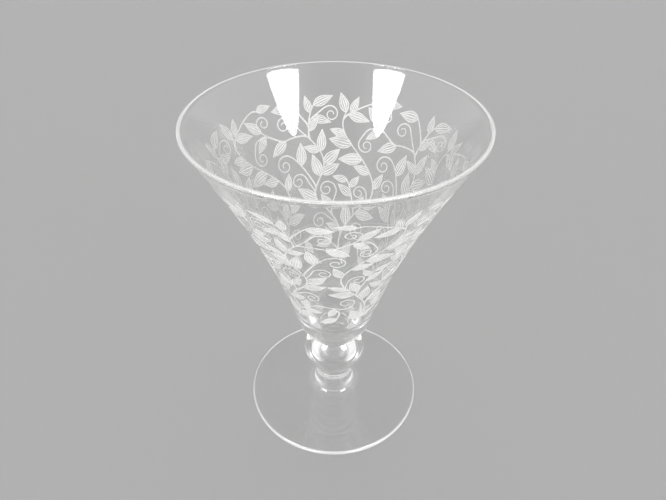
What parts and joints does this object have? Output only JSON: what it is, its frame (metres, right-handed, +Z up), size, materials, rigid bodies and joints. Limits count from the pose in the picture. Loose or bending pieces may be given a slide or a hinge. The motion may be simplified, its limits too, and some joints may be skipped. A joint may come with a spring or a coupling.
{
  "type": "port glass",
  "caption": "Stemmed drinking glass with a flared conical bowl, a ball knop on a short stem and a round foot, in clear crystal with an etched foliate scroll on the bowl.",
  "frame": {"origin": "on the glass's upright axis, in the plane of the foot's resting ring", "axes": "+Z up along the axis of the glass, towards the rim; X and Y are free because the glass is round"},
  "size_m": [0.075, 0.075, 0.1],
  "materials": {
    "clear_crystal": "polished colourless crystal",
    "etched_crystal": "polished colourless crystal with a frosted etched foliate scroll"
  },
  "bodies": {
    "root": {"bowl": "etched_crystal", "knop": "clear_crystal", "stem": "clear_crystal", "foot": "clear_crystal"}
  },
  "joints": []
}
